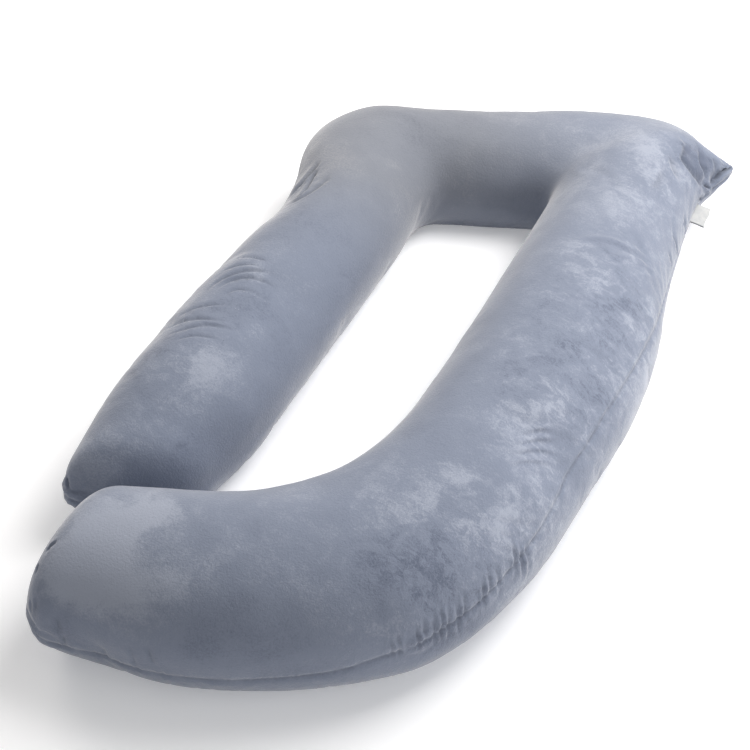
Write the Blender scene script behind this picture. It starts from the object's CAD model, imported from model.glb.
import math

import bpy
import numpy as np
from mathutils import Matrix, Vector, noise
from mathutils.kdtree import KDTree


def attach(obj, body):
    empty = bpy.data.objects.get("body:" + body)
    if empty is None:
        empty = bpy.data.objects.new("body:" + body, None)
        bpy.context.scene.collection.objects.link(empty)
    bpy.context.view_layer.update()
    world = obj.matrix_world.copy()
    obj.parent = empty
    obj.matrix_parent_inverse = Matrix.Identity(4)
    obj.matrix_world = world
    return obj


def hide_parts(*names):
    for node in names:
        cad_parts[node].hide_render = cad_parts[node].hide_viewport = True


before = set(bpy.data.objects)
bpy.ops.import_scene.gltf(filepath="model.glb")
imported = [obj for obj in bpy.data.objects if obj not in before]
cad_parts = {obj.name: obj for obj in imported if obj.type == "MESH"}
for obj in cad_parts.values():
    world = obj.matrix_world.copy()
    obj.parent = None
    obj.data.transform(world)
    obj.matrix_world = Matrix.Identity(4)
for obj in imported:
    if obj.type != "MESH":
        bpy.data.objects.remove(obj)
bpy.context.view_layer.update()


# small helpers used by every piece
def deselectAll():
    if bpy.context.mode != "OBJECT":
        bpy.ops.object.mode_set(mode="OBJECT")
    bpy.ops.object.select_all(action="DESELECT")


def makeActive(piece):
    deselectAll()
    piece.select_set(True)
    bpy.context.view_layer.objects.active = piece


# chooses these points or faces and stays in edit mode, for the operator that follows
def chooseInEdit(piece, kind, chosen):
    makeActive(piece)
    bpy.ops.object.mode_set(mode="EDIT")
    bpy.ops.mesh.select_mode(type=kind)
    bpy.ops.mesh.select_all(action="DESELECT")
    bpy.ops.object.mode_set(mode="OBJECT")
    elements = piece.data.vertices if kind == "VERT" else piece.data.polygons
    elements.foreach_set("select", chosen)
    bpy.ops.object.mode_set(mode="EDIT")


def readPoints(piece):
    points = np.empty(len(piece.data.vertices) * 3)
    piece.data.vertices.foreach_get("co", points)
    return points.reshape(-1, 3)


def writePoints(piece, points):
    piece.data.vertices.foreach_set("co", np.ascontiguousarray(points, dtype=np.float32).ravel())
    piece.data.update()


def readNormals(piece):
    normals = np.empty(len(piece.data.vertices) * 3)
    piece.data.vertex_normals.foreach_get("vector", normals)
    return normals.reshape(-1, 3)


def writeAttribute(piece, name, values):
    layer = piece.data.attributes.new(name, "FLOAT", "POINT")
    layer.data.foreach_set("value", np.ascontiguousarray(values, dtype=np.float32))


def ease(x):
    x = np.clip(x, 0.0, 1.0)
    return x * x * (3 - 2 * x)


# 1 at the place, falling away with distance
def nearness(points, place, reach):
    return np.exp(-(np.linalg.norm(points - np.array(place), axis=1) / reach) ** 2)


# a smooth line through the points given, with so many steps between each two
def smoothPath(points, steps, closed=False):
    knots = np.array(points, dtype=float)
    if closed:
        knots = np.vstack([knots[-1:], knots, knots[:2]])
    else:
        knots = np.vstack([2 * knots[0] - knots[1], knots, 2 * knots[-1] - knots[-2]])
    u = (np.arange(steps) / steps)[:, None]
    stretches = []
    for a, b, c, d in zip(knots, knots[1:], knots[2:], knots[3:]):
        stretches.append(0.5 * (2 * b + (c - a) * u + (2 * a - 5 * b + 4 * c - d) * u ** 2
                                + (3 * b - a - 3 * c + d) * u ** 3))
    if not closed:
        stretches.append(knots[-2:-1])
    return np.vstack(stretches)


# for each point: how far it is from the line, how far along the line, the nearest spot, the line's way
# there, and then the line's whole length
def alongPath(points, path, closed=False):
    if closed:
        path = np.vstack([path, path[:1]])
    starts = path[:-1]
    ways = np.diff(path, axis=0)
    lengths = np.linalg.norm(ways, axis=1)
    ways = ways / lengths[:, None]
    runs = np.concatenate([[0.0], np.cumsum(lengths)])
    middles = KDTree(len(starts))
    for i, middle in enumerate((path[:-1] + path[1:]) / 2):
        middles.insert(middle, i)
    middles.balance()
    nearest = np.array([middles.find(p)[1] for p in points], dtype=int)
    best = np.full(len(points), 1e9)
    run = np.zeros(len(points))
    foot = np.zeros((len(points), 3))
    way = np.zeros((len(points), 3))
    for shift in (-1, 0, 1):
        k = nearest + shift
        k = k % len(starts) if closed else np.clip(k, 0, len(starts) - 1)
        share = np.clip(((points - starts[k]) * ways[k]).sum(axis=1), 0.0, lengths[k])
        spot = starts[k] + ways[k] * share[:, None]
        distance = np.linalg.norm(points - spot, axis=1)
        closer = distance < best
        best[closer] = distance[closer]
        run[closer] = (runs[k] + share)[closer]
        foot[closer] = spot[closer]
        way[closer] = ways[k][closer]
    return best, run, foot, way, runs[-1]


# the points that lie in the box round the line
def besidePath(points, path, margin):
    inside = (points > path.min(axis=0) - margin) & (points < path.max(axis=0) + margin)
    return np.where(inside.all(axis=1))[0]


def onSkin(piece, millimetres):
    return np.array([piece.closest_point_on_mesh(Vector(p) / 1000)[1] for p in millimetres])


def newMaterial(name):
    material = bpy.data.materials.new(name)
    material.use_nodes = True
    return material, material.node_tree, material.node_tree.nodes["Principled BSDF"]


# camera at the photograph's angle
view = {"target": (-0.023, -0.077, 0.101), "azimuth": 24.8, "elevation": 45.3,
        "distance": 2.76, "lens": 82.9, "sensor": 36.0}
turn = math.radians(view["azimuth"])
tilt = math.radians(view["elevation"])
back = Vector((math.sin(turn) * math.cos(tilt), -math.cos(turn) * math.cos(tilt), math.sin(tilt)))
bpy.ops.object.camera_add(location=Vector(view["target"]) + back * view["distance"])
camera = bpy.context.object
camera.name = "photoCamera"
camera.rotation_euler = back.to_track_quat("Z", "Y").to_euler()
camera.data.sensor_width = view["sensor"]
camera.data.lens = view["lens"]
bpy.context.scene.camera = camera
print("camera placed")

# floor and soft studio light
studio = {"floorSize": 60, "floorLevel": -0.0006, "floorColour": (0.90, 0.90, 0.91), "floorRoughness": 0.9,
          "floorGlow": 0.22, "worldColour": (1.0, 1.0, 1.0), "worldStrength": 0.34}
softboxes = {
    "keySoftbox": {"place": (0.9, 1.3, 2.3), "aim": (0.15, 0.1, 0.1), "size": (1.8, 1.8), "power": 92,
                   "colour": (1.0, 0.985, 0.965)},
    "sideSoftbox": {"place": (2.5, -0.2, 1.1), "aim": (0.3, 0.0, 0.1), "size": (1.2, 2.0), "power": 15,
                    "colour": (1.0, 1.0, 1.0)},
    "rimSoftbox": {"place": (-2.4, 1.0, 1.2), "aim": (-0.2, 0.1, 0.1), "size": (1.4, 1.4), "power": 26,
                   "colour": (1.0, 0.94, 0.87)}}
deselectAll()
bpy.ops.mesh.primitive_plane_add(size=studio["floorSize"], location=(0, 0, studio["floorLevel"]))
floor = bpy.context.object
floor.name = "studioFloor"
floorPaint, tree, shader = newMaterial("paleFloor")
shader.inputs["Base Color"].default_value = (*studio["floorColour"], 1)
shader.inputs["Roughness"].default_value = studio["floorRoughness"]
shader.inputs["Emission Color"].default_value = (1, 1, 1, 1)
shader.inputs["Emission Strength"].default_value = studio["floorGlow"]
floor.data.materials.append(floorPaint)
for name, box in softboxes.items():
    bpy.ops.object.light_add(type="AREA", location=box["place"])
    lamp = bpy.context.object
    lamp.name = name
    lamp.data.shape = "RECTANGLE"
    lamp.data.size, lamp.data.size_y = box["size"]
    lamp.data.energy = box["power"]
    lamp.data.color = box["colour"]
    lamp.rotation_euler = (Vector(box["place"]) - Vector(box["aim"])).to_track_quat("Z", "Y").to_euler()
world = bpy.data.worlds.new("softStudio")
world.use_nodes = True
world.node_tree.nodes["Background"].inputs["Color"].default_value = (*studio["worldColour"], 1)
world.node_tree.nodes["Background"].inputs["Strength"].default_value = studio["worldStrength"]
bpy.context.scene.world = world
bpy.context.scene.view_settings.view_transform = "Standard"
print("floor and lights placed")

# the stuffed pillow: what can be changed, in metres
pillow = {
    "grain": 0.0066, "calming": 24, "lumps": 0.0011, "fill": 0.85,   # size of its faces, and its filling
    "inset": 0.004, "pressure": 4.0, "frames": 14, "quality": 4,     # how it is blown up
    "mass": 0.3, "stretch": 20, "bending": 0.15, "swellCap": 0.009, "seamCap": 0.003,
    "slack": 0.006, "gatherSlack": 0.030,                            # spare cloth along the seam
    "gatherPlace": (0.300, -0.490, 0.120), "gatherReach": 0.17,
    "seamDepth": 0.0022, "seamWidth": 0.0034, "seamShade": 0.6, "outerShare": 0.632,
    "earTip": (0.349, 0.662, 0.105), "earCalming": 5,
    "gapPlace": (-0.240, -0.459, 0.085), "gapReach": 0.075, "gapOpening": 0.0065, "gapClosing": 0.55}
earTip = np.array(pillow["earTip"])

# the seam's closed line, in millimetres: the outer edge from the short arm to the foot end, then the
# inner edge back
seamTable = [
    (-303, -482, 73), (-344, -487, 73), (-356, -481, 73), (-364, -471, 73), (-366, -441, 73),
    (-373, -346, 89), (-376, -250, 99), (-371, -121, 100), (-361, -25, 101), (-342, 135, 100),
    (-340, 263, 97), (-378, 387, 93), (-342, 508, 86), (-293, 542, 84), (-198, 571, 83), (-112, 611, 82),
    (-25, 651, 83), (5, 664, 83), (128, 706, 85), (195, 720, 86), (252, 709, 89), (300, 677, 97),
    (350, 663, 106), (321, 580, 97), (321, 471, 92), (334, 342, 100), (343, 278, 112), (358, 182, 138),
    (362, 85, 155), (358, -43, 166), (353, -106, 165), (343, -201, 158), (346, -234, 157),
    (344, -299, 151), (316, -426, 134), (256, -539, 114), (231, -559, 109), (207, -580, 103),
    (153, -618, 89), (37, -676, 76), (6, -687, 74), (-56, -704, 71), (-120, -711, 68), (-153, -709, 68),
    (-217, -717, 64), (-251, -719, 66), (-287, -684, 77), (-295, -602, 87), (-287, -518, 87),
    (-251, -473, 87), (-198, -460, 89), (-123, -439, 95), (-56, -407, 97), (18, -333, 98), (52, -253, 97),
    (67, -176, 95), (72, -133, 95), (80, 9, 92), (82, 169, 89), (81, 326, 85), (81, 414, 83),
    (75, 445, 83), (66, 449, 77), (32, 442, 73), (-57, 414, 71), (-111, 390, 73), (-130, 329, 80),
    (-126, 202, 85), (-126, 99, 87), (-128, 1, 87), (-131, -62, 87), (-135, -178, 86), (-144, -278, 82),
    (-166, -350, 73), (-173, -384, 73), (-196, -420, 73), (-239, -453, 73)]
seamLine = smoothPath(np.array(seamTable) / 1000, 12, closed=True)


# how far each point is from the seam, how strongly the seam draws in there, and the nearest spot on it;
# past the outer share the seam runs back along the inner edge, where it hardly shows
def besideSeam(points):
    distance, run, foot, way, length = alongPath(points, seamLine, closed=True)
    outer = length * pillow["outerShare"]
    pull = 1.0 - 0.85 * ease((run - outer) / 0.08) * ease((length - run) / 0.10)
    return distance, pull, foot


# across a crease: how steep it is on one side and gentle on the other, where its lips stand, how it
# ends, and how deep it is where it is darkest
creaseShape = {"steep": 0.75, "gentle": 1.35, "lipPlace": 2.1, "lipWidth": 1.1, "taper": 0.35,
               "darkest": 0.0035}

# fine creases in millimetres: half width, depth (a ridge below zero), how much the lips stand up, then
# the points that the crease follows
creaseTable = [
    (5.0, 5.0, 0.5, [(-323, 192, 162), (-303, 229, 183), (-287, 282, 195)]),
    (4.0, 4.0, 0.5, [(-313, 185, 171), (-282, 178, 198), (-284, 243, 189), (-276, 274, 196)]),
    (5.0, 2.5, 0.4, [(-314, 152, 169), (-274, 161, 202), (-252, 203, 206), (-252, 240, 206)]),
    (2.8, 1.4, 0.4, [(-313, -18, 197), (-269, -20, 215), (-232, -24, 217)]),
    (2.6, 1.3, 0.4, [(-312, -58, 202), (-279, -42, 214), (-241, -38, 217)]),
    (3.0, 2.0, 0.5, [(-303, -113, 203), (-302, -89, 203), (-281, -67, 212), (-253, -51, 216),
                      (-205, -39, 209)]),
    (2.8, 1.9, 0.5, [(-292, -107, 206), (-274, -80, 210), (-245, -65, 213), (-199, -62, 203)]),
    (2.8, 1.5, 0.4, [(-271, -121, 213), (-251, -95, 212), (-199, -94, 205)]),
    (2.8, 1.4, 0.4, [(-326, -166, 193), (-294, -149, 207), (-231, -129, 210)]),
    (3.0, 2.0, 0.5, [(-342, -197, 178), (-318, -186, 194), (-279, -176, 208), (-232, -170, 210)]),
    (3.0, 2.0, 0.5, [(-326, -222, 192), (-292, -204, 207), (-256, -185, 212), (-205, -176, 205)]),
    (2.8, 1.4, 0.4, [(-298, -237, 206), (-266, -215, 212), (-221, -205, 209)]),
    (4.2, -2.5, 0.3, [(262, -222, 228), (287, -181, 218), (312, -160, 206)]),
    (4.0, -2.7, 0.3, [(264, -241, 228), (292, -196, 215), (322, -166, 196)]),
    (4.0, -2.6, 0.3, [(267, -258, 228), (297, -214, 214), (330, -180, 186)]),
    (4.0, -2.1, 0.3, [(270, -276, 227), (301, -234, 212), (334, -200, 180)]),
    # the ear's ridges and hollows, and the lips above the label
    (6.0, 3.2, 0.7, [(273, 612, 181), (276, 577, 187), (283, 558, 181), (297, 559, 158),
                      (313, 569, 132), (322, 586, 111)]),
    (5.0, 3.0, 0.7, [(291, 633, 161), (303, 601, 158), (314, 596, 142), (321, 596, 121)]),
    (4.5, 2.4, 0.7, [(312, 640, 145), (325, 627, 135), (329, 617, 127)]),
    (6.0, 2.4, 0.6, [(254, 553, 200), (263, 537, 194), (276, 520, 185), (295, 514, 168)]),
    (7.0, 1.6, 0.6, [(257, 509, 196), (260, 472, 196), (257, 431, 199)]),
    (2.6, 4.0, 0.5, [(317, 579, 123), (322, 587, 113), (325, 597, 102)]),
    (2.6, 3.4, 0.5, [(319, 546, 117), (320, 572, 94), (321, 584, 89)]),
    # soft arcs across the long arm, and puckers along the seam below the label
    (6.0, -1.8, 0.5, [(178, 220, 216), (212, 250, 218), (259, 266, 212), (300, 277, 191),
                      (330, 288, 157)]),
    (5.5, -1.7, 0.5, [(248, 199, 220), (272, 238, 210), (306, 262, 190), (337, 281, 146)]),
    (5.0, -0.9, 0.5, [(206, 72, 227), (241, 99, 226), (278, 113, 220)]),
    (3.0, 2.2, 0.5, [(312, 470, 140), (322, 461, 106), (322, 458, 84)]),
    (3.0, 2.2, 0.5, [(316, 402, 150), (326, 399, 122), (328, 396, 94)]),
    (3.0, 2.0, 0.5, [(322, 358, 152), (329, 354, 132), (333, 350, 102)]),
    # gathers at the foot bend
    (3.0, 0.9, 1.2, [(225, -565, 141), (227, -563, 107), (231, -563, 91)]),
    (3.0, 1.2, 1.2, [(230, -556, 153), (234, -557, 110), (238, -558, 89)]),
    (3.0, 0.9, 1.2, [(240, -552, 142), (243, -550, 113), (246, -549, 101)]),
    (3.0, 1.2, 1.2, [(251, -537, 155), (256, -539, 119), (260, -540, 93)]),
    (3.0, 1.3, 1.2, [(255, -525, 165), (261, -531, 117), (265, -532, 93)]),
    (3.0, 1.1, 1.2, [(265, -514, 158), (270, -517, 118), (275, -519, 92)]),
    (3.0, 1.6, 1.2, [(267, -499, 172), (275, -508, 120), (281, -511, 90)]),
    (3.0, 1.5, 1.2, [(275, -492, 167), (281, -498, 124), (287, -500, 88)]),
    (3.0, 1.0, 1.2, [(286, -482, 159), (290, -483, 130), (295, -485, 84)]),
    (3.0, 1.2, 1.2, [(288, -465, 172), (296, -473, 135), (300, -474, 111)]),
    (3.0, 1.2, 1.2, [(304, -435, 168), (311, -440, 141), (317, -445, 109)]),
    (3.0, 1.3, 1.2, [(306, -418, 177), (314, -428, 144), (319, -428, 124)]),
    (3.0, 1.1, 1.2, [(316, -408, 166), (320, -409, 147), (327, -414, 117)]),
    (3.0, 1.4, 1.2, [(319, -359, 184), (330, -373, 148), (338, -381, 120)]),
    (3.0, 1.4, 1.2, [(327, -354, 174), (334, -360, 144), (343, -368, 103)]),
    (3.0, 1.2, 1.2, [(334, -346, 165), (338, -347, 142), (347, -354, 94)]),
    # the foot end and the short arm's end
    (3.2, 1.8, 0.4, [(-212, -716, 134), (-210, -722, 98)]),
    (3.2, 2.4, 0.4, [(-205, -721, 100), (-207, -716, 64)]),
    (3.2, 1.8, 0.4, [(-146, -715, 98), (-146, -710, 58)]),
    (3.4, 2.2, 0.4, [(-101, -713, 131), (-93, -710, 57)]),
    (3.2, 1.6, 0.4, [(-74, -708, 138), (-66, -711, 94)]),
    (3.2, 1.4, 0.4, [(-57, -708, 88), (-58, -705, 71)]),
    (4.2, 1.8, 0.4, [(-262, -710, 136), (-263, -716, 119), (-264, -719, 104)]),
    (4.2, 1.6, 0.4, [(-251, -708, 151), (-252, -718, 128), (-255, -722, 103)]),
    (2.8, 2.6, 0.5, [(-250, -641, 201), (-260, -646, 191), (-268, -655, 178)]),
    (2.4, 2.0, 0.5, [(-268, -667, 168), (-271, -674, 163), (-266, -682, 158)]),
    (3.2, 4.0, 0.5, [(-356, -477, 113), (-355, -481, 106), (-354, -484, 90)])]

# where the pile was last brushed: reach in millimetres, how light (dark below zero), then the place
brushTable = [
    (90, 0.20, (203, 375, 211)), (24, -0.20, (274, 435, 191)), (20, -0.20, (242, 239, 217)),
    (26, -0.22, (283, 197, 212)), (22, 0.14, (284, 246, 205)), (30, -0.22, (331, 161, 189)),
    (22, -0.22, (260, -10, 229)), (50, 0.08, (200, -34, 231)), (44, -0.24, (340, 42, 188)),
    (34, -0.18, (330, -72, 202)), (36, 0.05, (288, -92, 224)), (70, 0.26, (372, 34, 140)),
    (30, -0.10, (167, -92, 227)), (60, 0.10, (297, -178, 214)), (36, 0.18, (291, 372, 185)),
    (80, 0.46, (-160, -560, 225)), (60, 0.34, (-206, -634, 213)), (34, -0.14, (-106, -635, 225)),
    (70, 0.30, (-190, -679, 186)), (60, 0.26, (-72, -655, 215)), (60, -0.16, (1, -671, 181)),
    (30, -0.16, (28, -634, 211)), (60, -0.02, (43, -502, 244)), (70, 0.14, (202, -389, 242)),
    (44, -0.22, (181, -507, 230)), (40, -0.20, (267, -482, 188)), (18, 0.10, (239, -545, 161)),
    (28, -0.12, (-216, -722, 104)), (60, -0.10, (83, -658, 126)), (30, -0.18, (-328, 58, 177)),
    (44, 0.10, (-234, -45, 215)), (40, -0.16, (-311, -246, 201)), (36, 0.12, (-235, -256, 208)),
    (26, -0.14, (-250, 120, 212)), (70, 0.10, (-285, 301, 199)), (50, -0.10, (-150, 430, 182)),
    (15, -0.30, (275, 593, 184)), (14, -0.26, (276, 559, 187)), (15, -0.24, (294, 578, 171)),
    (14, -0.30, (297, 620, 159)), (13, -0.20, (310, 607, 151)), (14, -0.20, (307, 578, 146)),
    (13, -0.12, (257, 541, 198)), (12, 0.20, (255, 508, 197)), (12, -0.20, (315, 629, 146)),
    (14, 0.18, (279, 524, 182)), (26, 0.14, (255, 460, 198)), (22, 0.14, (299, 479, 166)),
    (14, 0.16, (302, 562, 151)), (12, 0.14, (269, 574, 192)), (34, -0.12, (263, 357, 202)),
    (46, -0.26, (310, 604, 155)), (34, -0.10, (280, 582, 184)), (60, -0.10, (112, 640, 182)),
    (60, 0.22, (289, -332, 217)), (50, 0.36, (357, 145, 159)), (50, -0.12, (293, 72, 219)),
    (60, 0.12, (-80, -677, 196)), (60, 0.10, (20, -640, 215)), (70, -0.10, (-200, 440, 185)),
    (80, 0.15, (159, 558, 196)), (80, 0.11, (217, 188, 222)), (56, -0.28, (235, -470, 212)),
    (50, 0.42, (-193, -672, 196)), (50, -0.22, (298, -485, 92)), (60, -0.14, (-20, -700, 140)),
    (60, 0.12, (-294, -465, 141)), (60, 0.11, (-215, -260, 205)), (34, -0.16, (-330, -300, 175)),
    (40, -0.10, (-190, -380, 195)), (40, 0.16, (225, 545, 202))]

# where the pile is ruffled: reach in millimetres, how much (calmer below zero), then the place
ruffleTable = [
    (95, 0.85, (283, 222, 212)), (95, 0.85, (303, 72, 216)), (85, 0.75, (332, -34, 201)),
    (80, 0.70, (285, -169, 222)), (110, 0.45, (276, -411, 211)), (120, 0.36, (208, -428, 238)),
    (90, 0.65, (335, -361, 141)), (90, 0.60, (258, -506, 178)), (75, 1.00, (290, 575, 175)),
    (80, 0.75, (265, 440, 195)), (70, -0.50, (141, 304, 200)), (80, -0.20, (169, 91, 219)),
    (60, 0.40, (209, -55, 232)), (60, 0.40, (194, 69, 225)), (60, 0.35, (206, -129, 235)),
    (60, 0.35, (215, 103, 226)), (90, 0.60, (-300, -270, 200)), (70, 0.50, (-328, 58, 177)),
    (90, 0.50, (-240, -120, 212)), (80, 0.40, (-240, -380, 200)), (120, 0.30, (30, -560, 235)),
    (60, 0.70, (350, 120, 170)), (60, 0.70, (355, -90, 180)), (70, 0.50, (340, -250, 150))]

# where the colour is greyer, towards the head: reach, how much, then the place
greyTable = [(230, 0.9, (-133, 481, 178)), (190, 0.7, (-250, 309, 206))]

# the fold along the ear's tip: its line, how deep, how far it reaches above and below that line, the lip
# under it, and its shade
tipFold = {"line": [(345, 654, 116), (338, 632, 119), (331, 612, 114), (323, 594, 110)],
           "depth": 0.0100, "above": 0.014, "below": 0.0016,
           "lip": 0.0016, "lipPlace": 0.005, "lipWidth": 0.0035, "shade": 1.9, "shadeWidth": 0.002}

# small puffs beside the ear: reach and height in millimetres, then the place
puffTable = [(9, 4.0, (325, 593, 98)), (8, 2.0, (262, 596, 190)),
             (9, 2.0, (268, 575, 190)), (10, 1.8, (246, 520, 200))]

# the copy is one closed skin with even faces, ready to be blown up
deselectAll()
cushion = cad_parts["pillow"].copy()
cushion.data = cushion.data.copy()
cushion.name = "stuffedPillow"
cushion.data.name = "stuffedPillow"
bpy.context.scene.collection.objects.link(cushion)
makeActive(cushion)
bpy.ops.object.mode_set(mode="EDIT")
bpy.ops.mesh.select_all(action="SELECT")
bpy.ops.mesh.remove_doubles(threshold=0.00005)
bpy.ops.object.mode_set(mode="OBJECT")
# where the short arm's end all but meets the foot, the two are drawn apart, or the remesh would join them
points = readPoints(cushion)
narrow = nearness(points, pillow["gapPlace"], pillow["gapReach"])
writePoints(cushion, points - readNormals(cushion) * (pillow["gapOpening"] * narrow)[:, None])
cushion.data.remesh_voxel_size = pillow["grain"]
bpy.ops.object.voxel_remesh()
print("pillow copied and remeshed:", len(cushion.data.vertices), "points")


def smoothPoints(piece, chosen, times):
    chooseInEdit(piece, "VERT", chosen)
    bpy.ops.mesh.vertices_smooth(factor=0.5, repeat=times)
    bpy.ops.object.mode_set(mode="OBJECT")


def addGroup(piece, name, weights):
    group = piece.vertex_groups.new(name=name)
    for i in np.where(weights > 0.02)[0]:
        group.add([int(i)], float(weights[i]), "REPLACE")


# the flats of the copy are smoothed out, away from the seam and the ear
points = readPoints(cushion)
distance, pull, foot = besideSeam(points)
plain = ((distance > 0.016) | (pull < 0.5)) & (points[:, 2] > 0.004)
plain &= np.linalg.norm(points - earTip, axis=1) > 0.11
smoothPoints(cushion, plain, pillow["calming"])

# the skin starts inside its final place, held at the seam and underneath, and swells out against them
points = readPoints(cushion)
distance, pull, foot = besideSeam(points)
away = np.maximum(ease(distance / 0.026), 1.15 - pull) * ease((points[:, 2] - 0.002) / 0.010)
start = points - readNormals(cushion) * (pillow["inset"] * np.minimum(away, 1.0))[:, None]
writePoints(cushion, start)
held = ((distance < 0.0045) & (pull > 0.6)) | (points[:, 2] < 0.0015)
addGroup(cushion, "held", held.astype(float))
# spare cloth is gathered into the seam at the foot bend, and there is a little along the rest of it
atBend = nearness(points, pillow["gatherPlace"], pillow["gatherReach"])
addGroup(cushion, "gathered", np.exp(-(distance / 0.040) ** 2) * pull * (0.35 + 0.65 * atBend))
swell = cushion.modifiers.new("swell", "CLOTH")
swell.settings.use_pressure = True
swell.settings.uniform_pressure_force = pillow["pressure"]
swell.settings.vertex_group_mass = "held"
swell.settings.vertex_group_shrink = "gathered"
swell.settings.shrink_min = -pillow["slack"]
swell.settings.shrink_max = -pillow["gatherSlack"]
swell.settings.quality = pillow["quality"]
swell.settings.mass = pillow["mass"]
swell.settings.tension_stiffness = pillow["stretch"]
swell.settings.compression_stiffness = pillow["stretch"]
swell.settings.bending_stiffness = pillow["bending"]
swell.settings.effector_weights.gravity = 0
swell.point_cache.frame_start = 1
swell.point_cache.frame_end = pillow["frames"]
for frameNumber in range(1, pillow["frames"] + 1):
    bpy.context.scene.frame_set(frameNumber)
makeActive(cushion)
bpy.ops.object.modifier_apply(modifier="swell")
cushion.vertex_groups.clear()
moved = readPoints(cushion) - start
far = np.linalg.norm(moved, axis=1)
print("swelled by", np.round(far.mean() * 1000, 1), "mm, at most", np.round(far.max() * 1000, 1))
cap = np.maximum(ease(distance / 0.06), 1 - pull)
cap = pillow["seamCap"] + (pillow["swellCap"] - pillow["seamCap"]) * cap
moved *= (cap * np.tanh(far / cap) / np.maximum(far, 1e-9))[:, None]
writePoints(cushion, start + moved)
bpy.context.scene.frame_set(1)
print("pillow swelled")

# finer faces where the seam, the creases and the ear will be, and finer again for the narrow ones
creases = []
for width, depth, lip, path in creaseTable:
    creases.append((width / 1000, depth / 1000, lip, smoothPath(onSkin(cushion, path), 6)))
for reach, widest, earReach, withSeam in ((2.6, 1.0, 0.080, True), (1.7, 0.0028, 0.040, False)):
    points = readPoints(cushion)
    distance, pull, foot = besideSeam(points)
    fine = np.linalg.norm(points - earTip, axis=1) < earReach
    if withSeam:
        fine |= (distance < 0.009) & (pull > 0.6)
    for width, depth, lip, path in creases:
        if width > widest:
            continue
        near = besidePath(points, path, 0.02)
        if len(near):
            fine[near] |= alongPath(points[near], path)[0] < width * reach
    chosen = [bool(fine[list(face.vertices)].all()) for face in cushion.data.polygons]
    chooseInEdit(cushion, "FACE", chosen)
    bpy.ops.mesh.subdivide(number_cuts=1, smoothness=0.6, quadcorner="INNERVERT")
    bpy.ops.object.mode_set(mode="OBJECT")
    print("refined near the folds:", len(cushion.data.polygons), "faces")
gap = np.linalg.norm(readPoints(cushion) - earTip, axis=1)
smoothPoints(cushion, (gap > 0.006) & (gap < 0.13), pillow["earCalming"])


def lumpAt(point):
    return noise.noise(point * 11) + 0.4 * noise.noise(point * 27 + Vector((5, 3, 1)))


# lumps of the filling, the sunk seam and the creases
points = readPoints(cushion)
normals = readNormals(cushion)
upper = ease((points[:, 2] - 0.004) / 0.030)
lumps = np.array([lumpAt(Vector(p)) for p in points])
points = points + normals * (pillow["lumps"] * lumps * upper)[:, None]
distance, pull, foot = besideSeam(points)
onSeam = (distance < 0.0013) & (pull > 0.6)
points[onSeam] = foot[onSeam]
narrow = nearness(points, pillow["gapPlace"], pillow["gapReach"])
points = points + normals * (pillow["gapClosing"] * pillow["gapOpening"] * narrow)[:, None]
sunk = pillow["seamDepth"] * pull * np.exp(-(distance / pillow["seamWidth"]) ** 2)
creaseDepth = pillow["seamShade"] * pull * np.exp(-(distance / 0.0025) ** 2)
points = points - normals * sunk[:, None]
for width, depth, lip, path in creases:
    near = besidePath(points, path, 0.03)
    if not len(near):
        continue
    off, run, spot, heading, length = alongPath(points[near], path)
    steepSide = (np.cross(heading, normals[near]) * (points[near] - spot)).sum(axis=1) > 0
    halfWidth = width * np.where(steepSide, creaseShape["steep"], creaseShape["gentle"])
    end = creaseShape["taper"] * length
    taper = ease(run / end) * ease((length - run) / end)
    valley = np.exp(-(off / halfWidth) ** 2)
    ridge = (off - creaseShape["lipPlace"] * halfWidth) / (creaseShape["lipWidth"] * halfWidth)
    ridge = lip * np.exp(-ridge ** 2)
    points[near] += normals[near] * (depth * taper * (ridge - valley))[:, None]
    shade = valley * taper * np.clip(depth / creaseShape["darkest"], 0, 1)
    creaseDepth[near] = np.maximum(creaseDepth[near], shade)
# the tip of the ear is folded over: steep under the fold's line, gentle above it
foldLine = smoothPath(onSkin(cushion, tipFold["line"]), 6)
near = np.where((np.linalg.norm(points - earTip, axis=1) < 0.10) & (normals[:, 2] > 0.05))[0]
off, run, spot, heading, length = alongPath(points[near], foldLine)
under = points[near][:, 2] < spot[:, 2]
sink = np.where(under, np.exp(-(off / tipFold["below"]) ** 2), np.exp(-(off / tipFold["above"]) ** 2))
lipOut = tipFold["lip"] * np.exp(-((off - tipFold["lipPlace"]) / tipFold["lipWidth"]) ** 2)
taper = ease((length - run) / (0.3 * length))
points[near] += normals[near] * ((np.where(under, lipOut, 0) - tipFold["depth"] * sink) * taper)[:, None]
shade = tipFold["shade"] * np.exp(-(off / tipFold["shadeWidth"]) ** 2) * taper
creaseDepth[near] = np.maximum(creaseDepth[near], shade)
for reach, height, spot in puffTable:
    puff = nearness(points, onSkin(cushion, [spot])[0], reach / 1000)
    points += normals * (height / 1000 * puff)[:, None]


def spread(table):
    total = np.zeros(len(points))
    for reach, amount, spot in table:
        total += amount * nearness(points, onSkin(cushion, [spot])[0], reach / 1000)
    return total


brushed = spread(brushTable)
ruffled = np.clip(spread(ruffleTable), 0, 1)
greyed = np.clip(spread(greyTable), 0, 1)
points[:, 2] = np.maximum(points[:, 2], 0.0)
writePoints(cushion, points)
writeAttribute(cushion, "creaseDepth", creaseDepth)
writeAttribute(cushion, "brushed", brushed)
writeAttribute(cushion, "ruffled", ruffled)
writeAttribute(cushion, "greyed", greyed)
makeActive(cushion)
bpy.ops.object.shade_smooth()
print("seam and creases sunk")


# helpers for the materials; they build in the tree that is being made
def addNode(kind, **values):
    node = tree.nodes.new(kind)
    for name, value in values.items():
        if hasattr(node, name):
            setattr(node, name, value)
        else:
            node.inputs[name].default_value = value
    return node


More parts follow.
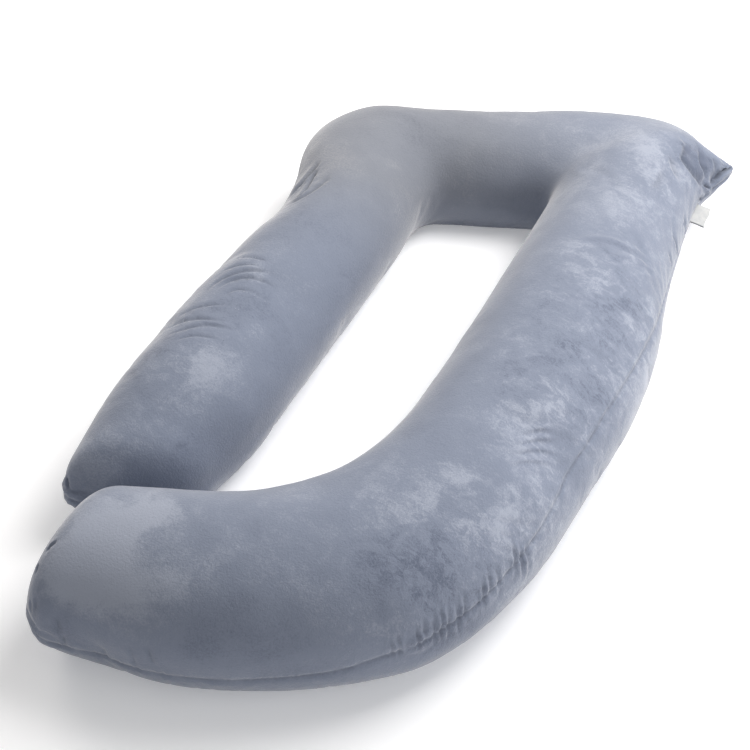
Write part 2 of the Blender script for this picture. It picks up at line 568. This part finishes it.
def addNoise(scale, detail, distortion, stretch=(1, 1, 1), turn=(0, 0, 0)):
    mapping = addNode("ShaderNodeMapping", Scale=stretch, Rotation=turn)
    tree.links.new(place.outputs["Object"], mapping.inputs["Vector"])
    grain = addNode("ShaderNodeTexNoise", Scale=scale, Detail=detail, Distortion=distortion)
    tree.links.new(mapping.outputs["Vector"], grain.inputs["Vector"])
    return grain.outputs["Fac"]


def readAttribute(name):
    return addNode("ShaderNodeAttribute", attribute_name=name).outputs["Fac"]


def combine(operation, a, b=0.0):
    node = addNode("ShaderNodeMath", operation=operation)
    for socket, value in zip(node.inputs, (a, b)):
        if isinstance(value, (int, float)):
            socket.default_value = value
        else:
            tree.links.new(value, socket)
    return node.outputs[0]


def addUp(first, *others):
    for other in others:
        first = combine("ADD", first, other)
    return first


def times(value, amount):
    return combine("MULTIPLY", value, amount)


def centred(value, amount):
    return times(combine("SUBTRACT", value, 0.5), amount)


def steepen(value, low, high):
    node = addNode("ShaderNodeMapRange", interpolation_type="SMOOTHSTEP")
    node.inputs["From Min"].default_value = low
    node.inputs["From Max"].default_value = high
    tree.links.new(value, node.inputs["Value"])
    return node.outputs["Result"]


def addBump(height, strength, distance):
    bump = addNode("ShaderNodeBump", Strength=strength, Distance=distance)
    tree.links.new(height, bump.inputs["Height"])
    tree.links.new(bump.outputs["Normal"], shader.inputs["Normal"])


# velvet: short pile with brushed light and dark patches
velvetLook = {"dark": (0.125, 0.145, 0.200), "middle": (0.205, 0.232, 0.300),
              "light": (0.325, 0.352, 0.425), "greyer": (1.02, 0.955, 0.85),
              "roughness": 0.85, "specular": 0.2,
              "sheen": 0.50, "sheenRoughness": 0.38, "sheenTint": (1.0, 0.970, 0.945),
              "level": 0.495, "drift": 0.40, "clouds": 0.12, "patches": 0.05, "pebbles": 0.38, "pile": 0.38,
              "ruffledMottles": 0.18, "ruffledStrokes": 0.13, "ruffledPatches": 0.18,
              "ruffledAtLeast": 0.18,
              "brushedEvenly": 0.68, "brushedClouds": 0.45, "brushedPatches": 0.20,
              "creaseShade": 0.35, "pileRelief": 0.35, "pebbleRelief": 0.9,
              "bump": 0.45, "bumpHeight": 0.0016}
velvet, tree, shader = newMaterial("blueGreyVelvet")
shader.inputs["Roughness"].default_value = velvetLook["roughness"]
shader.inputs["Sheen Weight"].default_value = velvetLook["sheen"]
shader.inputs["Sheen Roughness"].default_value = velvetLook["sheenRoughness"]
shader.inputs["Sheen Tint"].default_value = (*velvetLook["sheenTint"], 1)
shader.inputs["Specular IOR Level"].default_value = velvetLook["specular"]
place = addNode("ShaderNodeTexCoord")
drift = addNoise(2.6, 2.0, 0.4)
clouds = steepen(addNoise(6.5, 3.0, 0.8), 0.36, 0.64)
patches = steepen(addNoise(13.0, 3.0, 1.0), 0.40, 0.60)
mottles = steepen(addNoise(38.0, 4.0, 1.0, (1, 1.6, 1), (0, 0, 0.5)), 0.43, 0.59)
strokes = steepen(addNoise(72.0, 2.0, 1.2, (1, 4.5, 1), (0.2, 0, 0.9)), 0.50, 0.68)
crossStrokes = steepen(addNoise(64.0, 2.0, 1.4, (4.5, 1, 1), (0, 0.2, 0.4)), 0.52, 0.70)
pebbles = addNoise(300.0, 2.0, 0.4)
pile = addNoise(650.0, 2.0, 0.0)
# the tone goes from dark to light: broad drift everywhere, marks where the pile is ruffled, and the
# brushed places, a little broken up
ruffledMarks = addUp(centred(mottles, velvetLook["ruffledMottles"]),
                     times(combine("MAXIMUM", strokes, crossStrokes), velvetLook["ruffledStrokes"]),
                     centred(patches, velvetLook["ruffledPatches"]))
ruffledShare = addUp(readAttribute("ruffled"), velvetLook["ruffledAtLeast"])
brushedShare = addUp(times(clouds, velvetLook["brushedClouds"]),
                     times(patches, velvetLook["brushedPatches"]), velvetLook["brushedEvenly"])
tone = addUp(centred(drift, velvetLook["drift"]), centred(clouds, velvetLook["clouds"]),
             centred(patches, velvetLook["patches"]), times(ruffledMarks, ruffledShare),
             centred(pebbles, velvetLook["pebbles"]), centred(pile, velvetLook["pile"]),
             times(readAttribute("brushed"), brushedShare), velvetLook["level"])
ramp = addNode("ShaderNodeValToRGB")
ramp.color_ramp.interpolation = "EASE"
ramp.color_ramp.elements[0].color = (*velvetLook["dark"], 1)
ramp.color_ramp.elements[1].color = (*velvetLook["light"], 1)
middle = ramp.color_ramp.elements.new(0.5)
middle.color = (*velvetLook["middle"], 1)
tree.links.new(tone, ramp.inputs["Fac"])
darken = addNode("ShaderNodeMix", data_type="RGBA", blend_type="MULTIPLY")
darken.inputs["Factor"].default_value = 1.0
tree.links.new(ramp.outputs["Color"], darken.inputs[6])
inCreases = combine("SUBTRACT", 1.0, times(readAttribute("creaseDepth"), velvetLook["creaseShade"]))
tree.links.new(inCreases, darken.inputs[7])
grey = addNode("ShaderNodeMix", data_type="RGBA", blend_type="MULTIPLY")
tree.links.new(readAttribute("greyed"), grey.inputs["Factor"])
tree.links.new(darken.outputs[2], grey.inputs[6])
grey.inputs[7].default_value = (*velvetLook["greyer"], 1)
tree.links.new(grey.outputs[2], shader.inputs["Base Color"])
relief = addUp(times(pile, velvetLook["pileRelief"]), times(pebbles, velvetLook["pebbleRelief"]))
addBump(relief, velvetLook["bump"], velvetLook["bumpHeight"])
cushion.data.materials.clear()
cushion.data.materials.append(velvet)
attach(cushion, "root")
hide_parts("pillow")
print("velvet finished")

# the care label: a blank band of woven tape folded in two, its root sewn into the seam
label = {"width": 0.048, "reach": 0.0228, "root": 0.004, "loop": 0.0011, "thickness": 0.0005,
         "columns": 11, "rows": 20, "foldSteps": 8,
         "droop": 0.0030, "ripple": 0.0010, "rippleRate": 7.0, "rippleStart": 0.6, "cornerCurl": 0.0022,
         "edgeWave": 0.0008, "edgeWaveRate": 9.0,
         "place": (0.31974, 0.53145, 0.09337), "outwards": (0.99695, 0.03522, -0.06969),
         "upwards": (0.07108, -0.03989, 0.99667)}
deselectAll()
bpy.ops.mesh.primitive_grid_add(x_subdivisions=label["columns"], y_subdivisions=label["rows"], size=1)
tape = bpy.context.object
tape.name = "careLabelTape"
tape.data.name = "careLabelTape"
layerLength = label["reach"] + label["root"] - label["loop"]
foldAt = label["reach"] - label["loop"]
bpy.ops.object.mode_set(mode="EDIT")
bpy.ops.mesh.select_all(action="SELECT")
bpy.ops.transform.resize(value=(layerLength, label["width"], 1))
bpy.ops.transform.translate(value=(foldAt - layerLength / 2, 0, label["loop"]))
bpy.ops.object.mode_set(mode="OBJECT")
# the outer edge is spun round the fold and then drawn back as the lower layer
chooseInEdit(tape, "VERT", [point.co.x > foldAt - 0.0001 for point in tape.data.vertices])
bpy.ops.mesh.select_mode(type="EDGE")
bpy.ops.mesh.spin(steps=label["foldSteps"], angle=math.pi, center=(foldAt, 0, 0), axis=(0, 1, 0))
stepBack = {"value": (-layerLength / label["columns"], 0, 0)}
for step in range(label["columns"]):
    bpy.ops.mesh.extrude_region_move(TRANSFORM_OT_translate=stepBack)
bpy.ops.mesh.select_all(action="SELECT")
bpy.ops.mesh.remove_doubles(threshold=0.00001)
bpy.ops.mesh.normals_make_consistent(inside=False)
bpy.ops.object.mode_set(mode="OBJECT")
# the tape droops towards its fold, ripples a little, and one corner curls up
flat = readPoints(tape)
out = np.clip(flat[:, 0] / label["reach"], 0, 1)
across = flat[:, 1] / label["width"]
waved = flat.copy()
waved[:, 2] -= label["droop"] * out ** 1.6
waved[:, 2] += label["ripple"] * out * np.sin(across * label["rippleRate"] + label["rippleStart"])
waved[:, 2] += label["cornerCurl"] * out ** 2 * np.maximum(across * 2, 0) ** 2
waved[:, 0] += label["edgeWave"] * out * np.sin(across * label["edgeWaveRate"])
writePoints(tape, waved)
writeAttribute(tape, "tapeRound", np.where(flat[:, 2] > 0, flat[:, 0], 2 * label["reach"] - flat[:, 0]))
writeAttribute(tape, "tapeAcross", flat[:, 1])
makeActive(tape)
body = tape.modifiers.new("body", "SOLIDIFY")
body.thickness = label["thickness"]
body.offset = 0
bpy.ops.object.modifier_apply(modifier="body")
outwards = Vector(label["outwards"])
upwards = Vector(label["upwards"])
labelTurn = Matrix((outwards, upwards.cross(outwards), upwards)).transposed()
tape.matrix_world = Matrix.Translation(label["place"]) @ labelTurn.to_4x4()
bpy.ops.object.transform_apply(location=True, rotation=True, scale=True)
bpy.ops.object.shade_smooth_by_angle(angle=math.radians(50))

# woven tape: a fine weave along and across it, uneven whiteness, and a slightly darker woven edge
tapeLook = {"dark": (0.40, 0.41, 0.42), "light": (0.52, 0.52, 0.51), "roughness": 0.72, "sheen": 0.15,
            "threads": 9000.0, "weave": 0.06, "edgeWidth": 0.0022, "edgeSteepness": 450.0, "edgeShade": 0.3,
            "bump": 0.25, "bumpHeight": 0.0003}
wovenTape, tree, shader = newMaterial("wovenTape")
shader.inputs["Roughness"].default_value = tapeLook["roughness"]
shader.inputs["Sheen Weight"].default_value = tapeLook["sheen"]
warp = combine("SINE", times(readAttribute("tapeRound"), tapeLook["threads"]))
weft = combine("SINE", times(readAttribute("tapeAcross"), tapeLook["threads"]))
weave = times(warp, weft)
place = addNode("ShaderNodeTexCoord")
unevenness = addNoise(90.0, 3.0, 0.5)
fromEdge = label["width"] / 2 - tapeLook["edgeWidth"]
edge = combine("SUBTRACT", combine("ABSOLUTE", readAttribute("tapeAcross")), fromEdge)
edge = times(times(combine("MAXIMUM", edge, 0.0), tapeLook["edgeSteepness"]), tapeLook["edgeShade"])
whiteness = combine("SUBTRACT", addUp(times(weave, tapeLook["weave"]), unevenness), edge)
ramp = addNode("ShaderNodeValToRGB")
ramp.color_ramp.elements[0].position = 0.2
ramp.color_ramp.elements[0].color = (*tapeLook["dark"], 1)
ramp.color_ramp.elements[1].position = 0.8
ramp.color_ramp.elements[1].color = (*tapeLook["light"], 1)
tree.links.new(whiteness, ramp.inputs["Fac"])
tree.links.new(ramp.outputs["Color"], shader.inputs["Base Color"])
addBump(weave, tapeLook["bump"], tapeLook["bumpHeight"])
tape.data.materials.clear()
tape.data.materials.append(wovenTape)
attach(tape, "root")
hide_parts("care_label")
print("care label sewn in")
